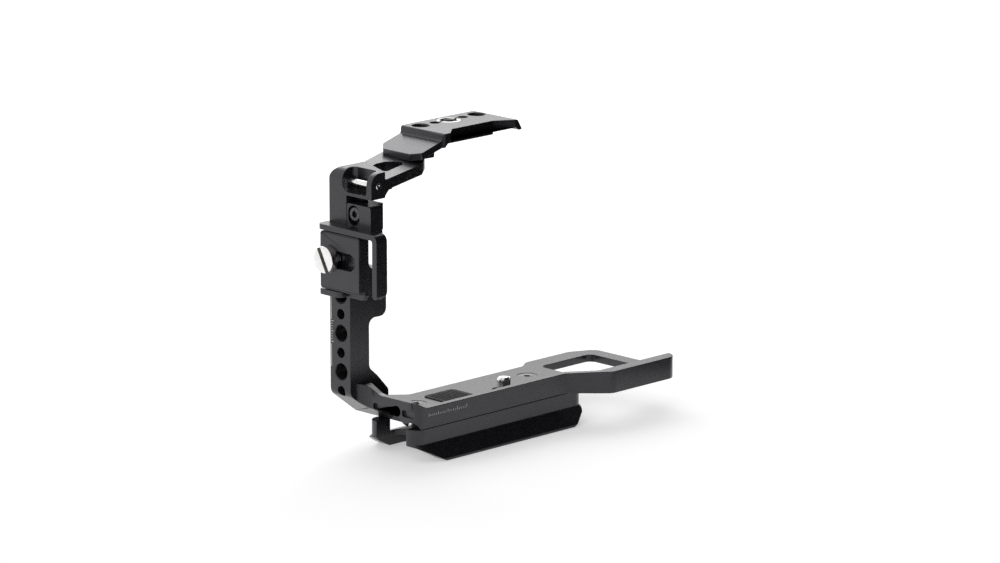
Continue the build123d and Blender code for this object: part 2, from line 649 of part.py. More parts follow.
# ---- Camera screw --------------------------------------------------------------
def camera_screw():
    """1/4"-20 screw with a slotted head, held in the quick release plate."""
    head_top = SCREW_WELL_TOP - SCREW_WASHER_T - TOUCH
    head = rod_z(SCREW_HEAD_R, head_top - SCREW_HEAD_T, head_top, 0, 0)
    head = chamfer(head.edges(), 0.35)
    thread = rod_z(QUARTER_R, -SCREW_THREAD_BELOW, SCREW_STICK_OUT, 0, 0)
    thread = chamfer(thread.edges().group_by(Axis.Z)[-1], 0.6)
    shank = thread + rod_z(SCREW_NECK_R, head_top, 0, 0, 0)
    slot_half, slot_t = 0.9, 1.3
    head_low = head_top - SCREW_HEAD_T
    slot = block((-FAR, FAR), (-slot_half, slot_half), (head_low - PAST, head_low + slot_t))
    return head + shank - slot


def camera_screw_washer():
    """Washer that rides up and down with the camera screw."""
    top = SCREW_WELL_TOP - TOUCH / 2
    body = rod_z(SCREW_HEAD_R - 0.6, top - SCREW_WASHER_T, top, 0, 0)
    return body - rod_z(QUARTER_R + RUN_FIT, -FAR, 0, 0, 0)


def screw_retaining_ring():
    """Internal ring that keeps the camera screw in its well."""
    gap_half, lug_r, lug_x, lug_y, eye_r = 2.2, 1.3, 6.9, 3.3, 0.6
    ring = rod_z(RING_R[1], *RING_Z, 0, 0) - rod_z(RING_R[0], -FAR, 0, 0, 0)
    ring -= block((0, FAR), (-gap_half, gap_half), (-FAR, 0))
    for side in (-1, 1):
        ring += rod_z(lug_r, *RING_Z, lug_x, side * lug_y)
        ring -= rod_z(eye_r, -FAR, 0, lug_x, side * lug_y)
    return ring


# ---- Cable clamp ---------------------------------------------------------------
def cable_clamp_bracket():
    """Bracket screwed to the side bar: flange, leg, web, lip and slotted tab."""
    profile = [
        (LEG_REAR, LEG_BOTTOM, 1.2),
        (LEG_REAR + LEG_T, LEG_BOTTOM, 1.2),
        (LEG_REAR + LEG_T, FLANGE_Z[0], 1.0),
        (26.7, FLANGE_Z[0], 0),
        (26.7, FLANGE_Z[1], 0),
        (LEG_REAR, FLANGE_Z[1], 3.0),
    ]
    body = along_x(profile, CLAMP_OUT, WEB_X[1])
    front = body.edges().filter_by(Axis.Z).filter_by_position(Axis.Y, 26.6, 26.8).sort_by(Axis.X)[0]
    body = fillet(front, 2.2)
    corner_x, corner_z = WEB_X[1] - LEG_ROUND, LEG_BOTTOM + LEG_ROUND
    leg_y = (LEG_REAR - PAST, LEG_REAR + LEG_T + PAST)
    corner = block((corner_x, WEB_X[1] + PAST), leg_y, (LEG_BOTTOM - PAST, corner_z))
    body -= corner - rod_y(LEG_ROUND, *leg_y, corner_x, corner_z)
    web = [
        (JAW_Y[0] + 0.6, 45.8, 2.0),
        (25.9, 45.8, 0.6),
        (25.9, FLANGE_Z[1], 0),
        (JAW_Y[0] + 0.6, FLANGE_Z[1], 0),
    ]
    body += along_x(web, *WEB_X)
    lip = [
        (JAW_X[0], 14.6, 2.0),
        (JAW_X[0], 25.9, 1.0),
        (WEB_X[0] + PAST, 25.9, 0),
        (WEB_X[0] + PAST, 14.6, 0),
    ]
    body += along_z(lip, 45.8, 48.1)
    tab = [
        (TAB_Y[0], FLANGE_Z[0], 0),
        (TAB_Y[1], FLANGE_Z[0], 0),
        (TAB_Y[1], TAB_TOP, 0.8),
        (TAB_Y[0], TAB_TOP, 1.2),
    ]
    body += along_x(tab, BAR_OUT, TAB_IN)
    body += block((CLAMP_OUT + 3, TAB_IN), TAB_Y, FLANGE_Z)
    wide = frame_box((CLAMP_SCREW_Y - 2.95, CLAMP_SCREW_Y + 2.95), (73.2, 81.0), 2.9)
    narrow = frame_box((CLAMP_SCREW_Y - 1.7, CLAMP_SCREW_Y + 1.7), (74.4, 79.8), 1.65)
    body -= along_x(wide, BAR_OUT - PAST, BAR_OUT + TAB_SEAT_T)
    body -= along_x(narrow, BAR_OUT, TAB_IN + PAST)
    return body - rod_x(JAW_SLOT_R, WEB_X[0] - PAST, WEB_X[1] + PAST, BAR_ROW_Y, THUMB_Z)


def bracket_screw():
    """M3 socket screw that sets the bracket's height."""
    head_r, head_t = CLAMP_HEAD
    seat = BAR_OUT + TAB_SEAT_T
    head = chamfer(rod_x(head_r, seat - head_t, seat, CLAMP_SCREW_Y, CLAMP_SCREW_Z).edges(), 0.25)
    shank = rod_x(M3_R, seat - 0.1, BAR_IN - 0.5, CLAMP_SCREW_Y, CLAMP_SCREW_Z)
    socket = Pos(seat - head_t, CLAMP_SCREW_Y, CLAMP_SCREW_Z) * Rot(0, -90, 0) * hex_socket(2.5, 1.6)
    return head + shank - socket


def clamp_jaw():
    """Slotted jaw that slides along Y and presses the cable on the leg."""
    body = along_x(frame_box(JAW_Y, JAW_Z, 1.2), *JAW_X)
    outer = body.faces().sort_by(Axis.X)[0].edges()
    body = chamfer(outer, 0.3)
    slot = frame_box(JAW_SLOT_Y, (THUMB_Z - JAW_SLOT_R, THUMB_Z + JAW_SLOT_R), JAW_SLOT_R - 0.01)
    return body - along_x(slot, JAW_X[0] - PAST, JAW_X[1] + PAST)


def clamp_thumbscrew():
    """1/4"-20 screw with a slotted round head."""
    inner = JAW_X[0] - THUMB_WASHER_T - 2 * TOUCH
    head = chamfer(rod_x(THUMB_HEAD_R, THUMB_FACE, inner, BAR_ROW_Y, THUMB_Z).edges(), 0.3)
    shank = rod_x(QUARTER_R - RUN_FIT, inner - 0.1, BAR_IN - 0.8, BAR_ROW_Y, THUMB_Z)
    shank = chamfer(shank.edges().group_by(Axis.X)[-1], 0.6)
    width, depth = THUMB_SLOT
    slot = Box(2 * depth, width, 4 * THUMB_HEAD_R)
    return head + shank - Pos(THUMB_FACE, BAR_ROW_Y, THUMB_Z) * Rot(-THUMB_SLOT_TILT, 0, 0) * slot


def thumbscrew_washer():
    """Thin washer between the thumbscrew's head and the jaw."""
    outer = JAW_X[0] - THUMB_WASHER_T - TOUCH
    body = rod_x(THUMB_HEAD_R - 0.35, outer, JAW_X[0] - TOUCH, BAR_ROW_Y, THUMB_Z)
    return body - rod_x(QUARTER_R, outer - 1, JAW_X[0] + PAST, BAR_ROW_Y, THUMB_Z)


# ---- Small pieces --------------------------------------------------------------
def strap_pin():
    """Steel pin across the strap slot."""
    return chamfer(rod_y(STRAP_PIN_R, CORNER_REAR, STRAP_PIN_END, STRAP_PIN_X, STRAP_PIN_Z).edges(), 0.2)


def seat_pad(x_low, x_high):
    """Thin rubber pad stuck on the seat."""
    return along_z(frame_box((x_low, x_high), SEAT_PAD_Y, 2.0), 0.0, PAD_T)


def side_pad():
    """Rubber pad on the boss beside the camera."""
    high = frame_box((BAR_REAR + 1.5, BASE_FRONT - 1.5), (BOSS_Z[0] + 3.2, BOSS_Z[1] - 3.2), 1.5)
    return along_x(high, BOSS_IN, BOSS_IN + SIDE_PAD_T)


save("cage_frame", cage_frame())
save("top_plate", top_plate())
save("thread_insert", thread_insert())
save("strap_pin", strap_pin())
save("quick_release_plate", quick_release_plate())
save("camera_screw", camera_screw())
save("camera_screw_washer", camera_screw_washer())
save("screw_retaining_ring", screw_retaining_ring())
save("cable_clamp_bracket", cable_clamp_bracket())
save("bracket_screw", bracket_screw())
save("clamp_jaw", clamp_jaw())
save("clamp_thumbscrew", clamp_thumbscrew())
save("thumbscrew_washer", thumbscrew_washer())
save("side_pad", side_pad())
for pad_name, pad_span in SEAT_PADS.items():
    save(pad_name, seat_pad(*pad_span))
for number, place in enumerate(PLATE_SCREWS, 1):
    save(f"plate_screw_{number}", plate_screw(*place))
for number, place in enumerate(PLATE_DOWELS, 1):
    save(f"plate_dowel_{number}", plate_dowel(*place))
for number, place in enumerate(TOP_SCREWS, 1):
    save(f"top_plate_screw_{number}", top_plate_screw(*place))
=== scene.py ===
"""Half cage for a mirrorless camera: finishes, threads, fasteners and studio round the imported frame.

Every length is in metres, in the frame's own axes: +X to the grip, +Y to the lens, +Z up, with the
origin where the camera screw's axis meets the camera seat.
"""

import logging
import math
from dataclasses import dataclass
from enum import Enum
from typing import Sequence, Union

import bmesh
import bpy
from mathutils import Euler, Matrix, Vector
from mathutils.bvhtree import BVHTree


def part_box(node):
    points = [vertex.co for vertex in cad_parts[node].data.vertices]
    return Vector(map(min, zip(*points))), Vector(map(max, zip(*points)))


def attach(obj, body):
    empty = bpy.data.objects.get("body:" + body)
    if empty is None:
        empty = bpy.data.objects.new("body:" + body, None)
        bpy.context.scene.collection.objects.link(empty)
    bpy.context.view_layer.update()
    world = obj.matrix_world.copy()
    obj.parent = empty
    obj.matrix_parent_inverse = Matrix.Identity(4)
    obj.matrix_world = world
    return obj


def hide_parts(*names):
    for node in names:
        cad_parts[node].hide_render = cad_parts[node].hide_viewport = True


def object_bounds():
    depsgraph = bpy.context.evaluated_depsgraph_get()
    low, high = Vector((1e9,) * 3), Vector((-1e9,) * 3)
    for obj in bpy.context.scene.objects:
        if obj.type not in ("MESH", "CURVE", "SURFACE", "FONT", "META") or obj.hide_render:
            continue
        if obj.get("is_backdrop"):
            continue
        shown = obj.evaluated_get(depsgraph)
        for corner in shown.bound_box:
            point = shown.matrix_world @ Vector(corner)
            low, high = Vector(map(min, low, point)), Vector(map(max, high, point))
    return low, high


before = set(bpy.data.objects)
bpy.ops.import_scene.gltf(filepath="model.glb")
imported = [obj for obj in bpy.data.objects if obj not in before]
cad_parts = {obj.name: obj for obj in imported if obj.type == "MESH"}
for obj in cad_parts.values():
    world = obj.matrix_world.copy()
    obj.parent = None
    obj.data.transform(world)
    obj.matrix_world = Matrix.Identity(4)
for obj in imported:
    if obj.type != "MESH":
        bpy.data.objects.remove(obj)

LOG = logging.getLogger("camera_cage")
MM = 0.001
TINY = 0.0001 * MM
WELD = 0.001 * MM  # vertices nearer than this are one
FLAT = math.radians(0.5)  # faces that turn less are one
SHARP = math.radians(32)  # edges that turn more stay sharp
SLOT_TILT = math.radians(27.5)  # lean of the thumbscrew's slot
WAVE_PERIOD = 0.314  # one ring of the wave texture at scale 1

Piece = bpy.types.Object
Material = bpy.types.Material
Socket = bpy.types.NodeSocket
Value = Union[Socket, float, int, bool, Sequence[float]]
Inputs = dict[Union[str, int], Value]
Pair = tuple[float, float]
Triple = tuple[float, float, float]
Colour = Triple


class Axis(Enum):
    """Direction that a turned piece or a hole runs along."""

    X = Vector((1, 0, 0))
    Y = Vector((0, 1, 0))
    Z = Vector((0, 0, 1))

    def turn(self) -> Matrix:
        """Rotation that takes +Z to this axis."""
        return self.value.to_track_quat("Z", "Y").to_matrix().to_4x4()


class Slot(Enum):
    """Material slots of the record."""

    ANODISED = "black_anodised"
    STEEL = "stainless_steel"
    OXIDE = "black_oxide_steel"
    RUBBER = "black_rubber"


# ---- Finishes ----


class NodeTree:
    """Adds nodes to one tree, with their inputs linked or written."""

    def __init__(self, tree: bpy.types.NodeTree) -> None:
        """Takes the tree."""
        self.tree = tree

    def node(self, kind: str, inputs: Inputs, **settings: object) -> bpy.types.Node:
        """Adds a node: constants or sockets by input name or number, its properties as keywords."""
        node = self.tree.nodes.new(kind)
        for key, value in settings.items():
            setattr(node, key, value)
        for key, value in inputs.items():
            self.feed(node.inputs[key], value)
        return node

    def make(self, kind: str, inputs: Inputs, **settings: object) -> Socket:
        """Adds a node as node() does and returns its first output."""
        return self.node(kind, inputs, **settings).outputs[0]

    def feed(self, socket: Socket, value: Value) -> None:
        """Links a socket to the input, or writes the constant on it."""
        if isinstance(value, bpy.types.NodeSocket):
            self.tree.links.new(value, socket)
        else:
            socket.default_value = value


class Painter(NodeTree):
    """Places and joins the shader nodes of one material."""

    def __init__(self, name: str) -> None:
        """Starts a material with an empty Principled surface."""
        self.material = bpy.data.materials.new(name)
        self.material.use_nodes = True
        super().__init__(self.material.node_tree)
        self.tree.nodes.clear()
        self.output = self.node("ShaderNodeOutputMaterial", {})
        self.surface = self.node("ShaderNodeBsdfPrincipled", {})
        self.show(self.surface.outputs["BSDF"])
        self.place = self.node("ShaderNodeTexCoord", {}).outputs["Object"]

    def show(self, shader: Socket) -> None:
        """Puts a shader out as the material's surface."""
        self.feed(self.output.inputs["Surface"], shader)

    def noise(self, size: float, detail: float = 2.0) -> Socket:
        """Soft noise, 0 to 1, whose grains are about size wide, with detail as its octaves."""
        inputs = {"Vector": self.place, "Scale": 1 / size, "Detail": detail}
        return self.make("ShaderNodeTexNoise", inputs)

    def spread(self, value: Socket, low: float = 0.0, high: float = 1.0, within: Pair = (0.3, 0.7)) -> Socket:
        """Maps the value's run within the two bounds to low..high."""
        start, end = within
        inputs = {"Value": value, "From Min": start, "From Max": end, "To Min": low, "To Max": high}
        return self.make("ShaderNodeMapRange", inputs)

    def blend(self, factor: Value, first: Colour, second: Colour) -> Socket:
        """Mixes two colours."""
        inputs = {0: factor, 6: (*first, 1), 7: (*second, 1)}
        return self.node("ShaderNodeMix", inputs, data_type="RGBA").outputs[2]

    def relief(self, height: Socket, depth: float, strength: float, normal: Socket = None) -> Socket:
        """Bumps the surface by a height map, whose full step is depth high, over a lower bump's normal."""
        inputs = {"Height": height, "Distance": depth, "Strength": strength}
        if normal:
            inputs["Normal"] = normal
        return self.make("ShaderNodeBump", inputs)

    def finish(self, **values: Value) -> Material:
        """Writes the surface's sockets, given with _ for a blank, and returns the material."""
        for key, value in values.items():
            self.feed(self.surface.inputs[key.replace("_", " ")], value)
        return self.material


@dataclass(frozen=True)
class BlastedAnodising:
    """Black anodising on bead-blasted aluminium."""

    name: str = "black_anodising"
    dark: Colour = (0.0115, 0.0112, 0.0140)
    pale: Colour = (0.0175, 0.0170, 0.0205)
    roughness: Pair = (0.25, 0.31)
    sheen: Colour = (0.97, 0.95, 1.0)
    gloss: float = 0.62
    grain: float = 0.16 * MM
    grain_depth: float = 0.006 * MM
    grain_relief: float = 0.5
    pit_relief: float = 0.35
    cloud: float = 2.6 * MM

    def material(self) -> Material:
        """The finish as a material."""
        paint = Painter(self.name)
        cloud = paint.noise(self.cloud, 4.0)
        grain = paint.noise(self.grain)
        pitting = paint.noise(self.grain * 4, 3.0)
        colour = paint.blend(paint.spread(cloud), self.dark, self.pale)
        fine = paint.relief(grain, self.grain_depth, self.grain_relief)
        coarse = paint.relief(pitting, self.grain_depth * 2, self.pit_relief, fine)
        return paint.finish(
            Base_Color=colour,
            Roughness=paint.spread(pitting, *self.roughness),
            Specular_Tint=(*self.sheen, 1.0),
            Specular_IOR_Level=self.gloss,
            Normal=coarse,
        )


@dataclass(frozen=True)
class TurnedSteel:
    """Bright steel with the fine rings of a lathe tool round its axis."""

    name: str
    axis: Axis
    centre: Sequence[float]
    pale: Colour = (0.90, 0.895, 0.88)
    dark: Colour = (0.80, 0.795, 0.78)
    roughness: Pair = (0.16, 0.24)
    ring: float = 0.12 * MM
    depth: float = 0.0008 * MM
    ring_relief: float = 0.4
    scratch_relief: float = 0.12
    smudge: float = 1.4 * MM
    scratch: float = 0.25 * MM

    def material(self) -> Material:
        """The finish as a material."""
        paint = Painter(self.name)
        shift = {"Vector": paint.place, "Location": [-c for c in self.centre]}
        centred = paint.make("ShaderNodeMapping", shift)
        rings = paint.node(
            "ShaderNodeTexWave",
            {"Vector": centred, "Scale": WAVE_PERIOD / self.ring, "Distortion": 0.6, "Detail": 2.0},
            wave_type="RINGS",
            rings_direction=self.axis.name,
        ).outputs["Fac"]
        smudge = paint.noise(self.smudge, 3.0)
        scratch = paint.noise(self.scratch, 3.0)
        ringed = paint.relief(rings, self.depth, self.ring_relief)
        return paint.finish(
            Base_Color=paint.blend(paint.spread(smudge), self.pale, self.dark),
            Metallic=1.0,
            Roughness=paint.spread(smudge, *self.roughness),
            Normal=paint.relief(scratch, self.depth, self.scratch_relief, ringed),
        )


@dataclass(frozen=True)
class Mottled:
    """A finish whose colour and gloss change in soft patches, over a fine grain."""

    name: str
    dark: Colour
    pale: Colour
    roughness: Pair
    patch: float
    grain: float
    grain_depth: float
    relief: float
    detail: float = 4.0
    within: Pair = (0.3, 0.7)
    metallic: float = 1.0

    def material(self) -> Material:
        """The finish as a material."""
        paint = Painter(self.name)
        patches = paint.noise(self.patch, self.detail)
        return paint.finish(
            Base_Color=paint.blend(paint.spread(patches, within=self.within), self.dark, self.pale),
            Metallic=self.metallic,
            Roughness=paint.spread(patches, *self.roughness),
            Normal=paint.relief(paint.noise(self.grain), self.grain_depth, self.relief),
        )


@dataclass(frozen=True)
class SawnSteelPaintedLight(Mottled):
    """Dull steel at the bottom of a sawn slot; its colour is set for the slot's shade and raised to paint
    light into the shaded slot.
    """

    name: str = "sawn_steel_painted_light"
    # dark and pale are raised to paint light into the slot, which sits in shade.
    dark: Colour = (0.30, 0.285, 0.26)
    pale: Colour = (0.46, 0.44, 0.41)
    roughness: Pair = (0.42, 0.6)
    patch: float = 0.5 * MM
    grain: float = 0.08 * MM
    grain_depth: float = 0.004 * MM
    relief: float = 0.5


@dataclass(frozen=True)
class BlackOxide(Mottled):
    """Oiled black oxide on alloy steel."""

    name: str = "black_oxide"
    dark: Colour = (0.070, 0.070, 0.073)
    pale: Colour = (0.120, 0.120, 0.124)
    roughness: Pair = (0.24, 0.36)
    patch: float = 0.8 * MM
    grain: float = 0.1 * MM
    grain_depth: float = 0.003 * MM
    relief: float = 0.4


@dataclass(frozen=True)
class MouldedRubber(Mottled):
    """Matte black rubber with a fine mould grain."""

    name: str = "moulded_rubber"
    dark: Colour = (0.012, 0.012, 0.012)
    pale: Colour = (0.024, 0.024, 0.024)
    roughness: Pair = (0.72, 0.88)
    patch: float = 1.8 * MM
    grain: float = 0.2 * MM
    grain_depth: float = 0.012 * MM
    relief: float = 0.6
    detail: float = 5.0
    within: Pair = (0.45, 0.75)
    metallic: float = 0.0


@dataclass(frozen=True)
class LaserMark:
    """Pale laser marking burnt into the anodising."""

    name: str = "laser_marking"
    pale: Colour = (0.72, 0.72, 0.72)
    dark: Colour = (0.42, 0.42, 0.43)
    roughness: Pair = (0.5, 0.7)
    speckle: float = 0.12 * MM
    speckle_depth: float = 0.004 * MM

    def material(self) -> Material:
        """The finish as a material."""
        paint = Painter(self.name)
        speckle = paint.noise(self.speckle, 3.0)
        return paint.finish(
            Base_Color=paint.blend(paint.spread(speckle, within=(0.4, 0.75)), self.pale, self.dark),
            Roughness=paint.spread(speckle, *self.roughness),
            Normal=paint.relief(speckle, self.speckle_depth, 0.5),
        )


class Finishes:
    """Every material of the cage, made once."""

    def __init__(self) -> None:
        """Makes the materials."""
        self.anodised = BlastedAnodising().material()
        # Eased edges get a paler anodising: a painted highlight along the edges, together with edge wear of
        # the anodising.
        self.edge = BlastedAnodising(
            name="black_anodising_edge_highlight_and_wear",
            dark=(0.018, 0.0182, 0.020),
            pale=(0.032, 0.0322, 0.035),
            roughness=(0.30, 0.40),
        ).material()
        self.bore = BlastedAnodising(
            name="black_anodising_thread",
            dark=(0.012, 0.012, 0.013),
            pale=(0.020, 0.020, 0.022),
            roughness=(0.30, 0.42),
        ).material()
        self.oxide = BlackOxide().material()
        self.rubber = MouldedRubber().material()
        self.mark = LaserMark().material()


# ---- Mesh tools ----


def new_piece(name: str, data: bpy.types.ID) -> Piece:
    """Puts a mesh, a light or a camera in the scene under that name."""
    data.name = name
    piece = bpy.data.objects.new(name, data)
    bpy.context.scene.collection.objects.link(piece)
    return piece


def solid_piece(name: str, solid: bmesh.types.BMesh, materials: Sequence[Material] = ()) -> Piece:
    """Turns an edited mesh into a piece of that name."""
    mesh = bpy.data.meshes.new(name)
    solid.to_mesh(mesh)
    solid.free()
    for material in materials:
        mesh.materials.append(material)
    return new_piece(name, mesh)


def sheet(name: str, corners: Sequence[Sequence[float]], material: Material) -> Piece:
    """A flat sheet with four corners."""
    mesh = bpy.data.meshes.new(name)
    mesh.from_pydata([tuple(c) for c in corners], [], [(0, 1, 2, 3)])
    mesh.materials.append(material)
    return new_piece(name, mesh)


def bake(piece: Piece) -> None:
    """Turns what the piece's modifiers make into its own plain mesh."""
    graph = bpy.context.evaluated_depsgraph_get()
    made = bpy.data.meshes.new_from_object(piece.evaluated_get(graph))
    made.name = piece.name
    piece.modifiers.clear()
    piece.data = made


def modify(piece: Piece, kind: str, **settings: object) -> None:
    """Puts a modifier with its settings on the piece and bakes it."""
    step = piece.modifiers.new(kind, kind)
    for key, value in settings.items():
        setattr(step, key, value)
    bake(piece)


def shade(piece: Piece) -> Piece:
    """Shades the piece smooth across all but its sharp edges and returns it."""
    piece.data.shade_smooth()
    piece.data.set_sharp_from_angle(angle=SHARP)
    return piece


def flatten_shading(piece: Piece, weight: int = 90) -> None:
    """Lets the large faces set the normals, so that flat faces shade flat up to their eased edges."""
    modify(piece, "WEIGHTED_NORMAL", keep_sharp=True, weight=weight)


def keep_inside(piece: Piece, low: Vector, high: Vector) -> None:
    """Pulls vertices that stand out of a box back onto it."""
    for vert in piece.data.vertices:
        vert.co = [min(max(c, least), most) for c, least, most in zip(vert.co, low, high)]


def join(name: str, pieces: Sequence[Piece]) -> Piece:
    """Joins pieces that hold their place in their meshes into one of that name."""
    whole = bmesh.new()
    materials: list[Material] = []
    for piece in pieces:
        moved = []
        for material in piece.data.materials:
            if material not in materials:
                materials.append(material)
            moved.append(materials.index(material))
        for face in piece.data.polygons:
            face.material_index = moved[face.material_index] if moved else 0
        whole.from_mesh(piece.data)
        bpy.data.objects.remove(piece)
    return solid_piece(name, whole, materials)


def lathe(name: str, profile: Sequence[Pair], axis: Axis, centre: Vector, steps: int = 96) -> Piece:
    """Turns a closed solid round an axis.

    Args:
        name: the piece's name.
        profile: (radius, place along the axis) from one end to the other.
        axis: the axis it turns round.
        centre: a point on the axis, where the places along it start.
        steps: sides of a full turn.

    Returns:
        The piece, its faces pointing outwards.
    """
    solid = bmesh.new()
    rings = []
    for radius, along in profile:
        if radius < TINY:
            rings.append([solid.verts.new((0, 0, along))])
            continue
        rings.append([
            solid.verts.new((radius * math.cos(a), radius * math.sin(a), along))
            for a in (2 * math.pi * i / steps for i in range(steps))
        ])
    for low, high in zip(rings, rings[1:]):
        for i in range(steps):
            j = (i + 1) % steps
            corners = [low[i % len(low)], low[j % len(low)], high[j % len(high)], high[i % len(high)]]
            kept = list(dict.fromkeys(corners))
            if len(kept) > 2:
                solid.faces.new(kept)
    if len(rings[0]) > 1 and len(rings[-1]) > 1 and profile[0] == profile[-1]:
        bmesh.ops.remove_doubles(solid, verts=solid.verts, dist=TINY)
    bmesh.ops.recalc_face_normals(solid, faces=solid.faces)
    bmesh.ops.transform(solid, matrix=Matrix.Translation(centre) @ axis.turn(), verts=solid.verts)
    return solid_piece(name, solid)


def box_mesh(name: str, low: Vector, high: Vector) -> Piece:
    """A plain block between two corners, used as a cutter or a blank."""
    solid = bmesh.new()
    bmesh.ops.create_cube(solid, size=1)
    placed = Matrix.Translation((high + low) / 2) @ Matrix.Diagonal((*(high - low), 1))
    bmesh.ops.transform(solid, matrix=placed, verts=solid.verts)
    return solid_piece(name, solid)


def cut(piece: Piece, cutter: Piece) -> None:
    """Cuts the cutter's shape out of the piece and removes the cutter."""
    modify(piece, "BOOLEAN", operation="DIFFERENCE", solver="EXACT", object=cutter)
    bpy.data.objects.remove(cutter)


@dataclass
class EdgeEaser:
    """Breaks a closed piece's sharp edges, narrower where there is little room."""

    width: float
    folded: float = math.radians(130)
    straight: float = math.radians(150)
    steps: int = 2
    share: float = 0.42
    least: float = 0.12
    slope: float = 0.6
    passes: int = 12
    stray: float = 0.55

    def apply(self, piece: Piece, edge_slot: int = 0) -> None:
        """Eases the edges of a closed piece and gives the eased faces that material slot."""
        solid = bmesh.new()
        solid.from_mesh(piece.data)
        solid.edges.ensure_lookup_table()
        widths = {e.index: self.room(e) for e in solid.edges if self.is_sharp(e)}
        for _ in range(self.passes):
            self.level(solid, widths)
        layer = solid.edges.layers.float.new("bevel_weight_edge")
        for index, width in widths.items():
            solid.edges[index][layer] = width / self.width if width > self.least * self.width else 0.0
        solid.to_mesh(piece.data)
        solid.free()
        corners = [v.co for v in piece.data.vertices]
        before = BVHTree.FromPolygons(corners, [p.vertices for p in piece.data.polygons])
        modify(
            piece, "BEVEL", width=self.width, segments=self.steps, limit_method="WEIGHT",
            use_clamp_overlap=False, miter_outer="MITER_SHARP", material=edge_slot,
        )
        for vert in piece.data.vertices:
            nearest, _, _, gap = before.find_nearest(vert.co)
            if gap > self.stray * self.width:
                vert.co = nearest

    def is_sharp(self, edge: bmesh.types.BMEdge) -> bool:
        """True where the faces turn by more than the sharp angle."""
        return edge.calc_face_angle(0.0) > SHARP

    def room(self, edge: bmesh.types.BMEdge) -> float:
        """Widest easing that stays clear of the corners beside the edge."""
        width = self.width
        if edge.calc_face_angle(0.0) > self.folded:
            return 0.0
        length = edge.calc_length()
        for loop in edge.link_loops:
            after = loop.link_loop_next
            for corner, beside in ((loop, loop.link_loop_prev.edge), (after, after.edge)):
                angle = corner.calc_angle()
                if angle > self.straight:
                    continue
                if self.is_sharp(beside):
                    reach = self.share * min(length, beside.calc_length()) * math.tan(angle / 2)
                else:
                    reach = self.share * beside.calc_length() * math.sin(angle)
                width = min(width, reach)
        for vert in edge.verts:
            ways = sum(1 for e in vert.link_edges if self.is_sharp(e))
            if ways > 3:
                return 0.0
        return width

    def level(self, solid: bmesh.types.BMesh, widths: dict[int, float]) -> None:
        """Keeps neighbouring edges from changing width abruptly."""
        for vert in solid.verts:
            met = [e for e in vert.link_edges if e.index in widths]
            for edge in met:
                for other in met:
                    most = widths[other.index] + self.slope * edge.calc_length()
                    widths[edge.index] = min(widths[edge.index], most)


class Growth(NodeTree):
    """A Geometry Nodes tree with named inputs, grown from points and baked to a plain mesh."""

    def __init__(self, name: str) -> None:
        """Starts the tree with its geometry sockets and its material input."""
        super().__init__(bpy.data.node_groups.new(name, "GeometryNodeTree"))
        self.tree.is_modifier = True
        faces = self.tree.interface
        faces.new_socket("Geometry", in_out="INPUT", socket_type="NodeSocketGeometry")
        faces.new_socket("Geometry", in_out="OUTPUT", socket_type="NodeSocketGeometry")
        faces.new_socket("Finish", in_out="INPUT", socket_type="NodeSocketMaterial")
        self.start = self.node("NodeGroupInput", {})
        self.end = self.node("NodeGroupOutput", {})
        self.points = self.start.outputs["Geometry"]

    def size(self, name: str, default: float) -> Socket:
        """Adds a named length input and returns its socket."""
        made = self.tree.interface.new_socket(name, in_out="INPUT", socket_type="NodeSocketFloat")
        made.default_value = default
        return self.start.outputs[name]

    def sum(self, operation: str, first: Value, second: Value = 0.0) -> Socket:
        """One step of arithmetic."""
        return self.make("ShaderNodeMath", {0: first, 1: second}, operation=operation)

    def vector(self, x: Value = 0.0, y: Value = 0.0, z: Value = 0.0) -> Socket:
        """Three numbers as a vector."""
        return self.make("ShaderNodeCombineXYZ", {0: x, 1: y, 2: z})

    def scatter(self, instance: Socket, **inputs: Value) -> None:
        """Ends the tree: the instance at each point, made real, with the finish set."""
        spots = {"Points": self.points, "Instance": instance, **inputs}
        placed = self.make("GeometryNodeInstanceOnPoints", spots)
        real = self.make("GeometryNodeRealizeInstances", {"Geometry": placed})
        dress = {"Geometry": real, "Material": self.start.outputs["Finish"]}
        self.feed(self.end.inputs["Geometry"], self.make("GeometryNodeSetMaterial", dress))

    def grow(
        self,
        name: str,
        places: Sequence[Vector],
        finish: Material,
        values: dict[str, float] = None,
        strokes: Sequence[Vector] = (),
    ) -> Piece:
        """Runs the tree on points.

        Args:
            name: the new piece's name.
            places: the points.
            finish: the material.
            values: inputs by name.
            strokes: a size for each point, read by the tree as the attribute stroke.

        Returns:
            The piece as a plain mesh.
        """
        host = bpy.data.meshes.new(name)
        host.from_pydata([tuple(p) for p in places], [], [])
        if strokes:
            held = host.attributes.new("stroke", "FLOAT_VECTOR", "POINT")
            for item, stroke in zip(held.data, strokes):
                item.vector = stroke
        piece = new_piece(name, host)
        step = piece.modifiers.new("grow", "NODES")
        step.node_group = self.tree
        sockets = self.tree.interface.items_tree
        known = {s.name: s.identifier for s in sockets if s.in_out == "INPUT"}
        step[known["Finish"]] = finish
        for key, value in (values or {}).items():
            step[known[key]] = value
        bake(piece)
        return piece


# ---- Machined bodies ----


def welded_copy(node: str, name: str) -> Piece:
    """Copies a CAD node into a piece with its vertices merged and its flat faces whole."""
    solid = bmesh.new()
    solid.from_mesh(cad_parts[node].data)
    bmesh.ops.remove_doubles(solid, verts=solid.verts, dist=WELD)
    bmesh.ops.dissolve_limit(solid, angle_limit=FLAT, verts=solid.verts, edges=solid.edges)
    return solid_piece(name, solid)


def seat(piece: Piece, body: str, slot: Slot, *nodes: str) -> Piece:
    """Lets a finished piece stand for its nodes and ride on their body."""
    if nodes:
        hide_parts(*nodes)
    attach(piece, body)
    LOG.info("%s rides on %s, %d faces", piece.name, body, len(piece.data.polygons))
    return piece


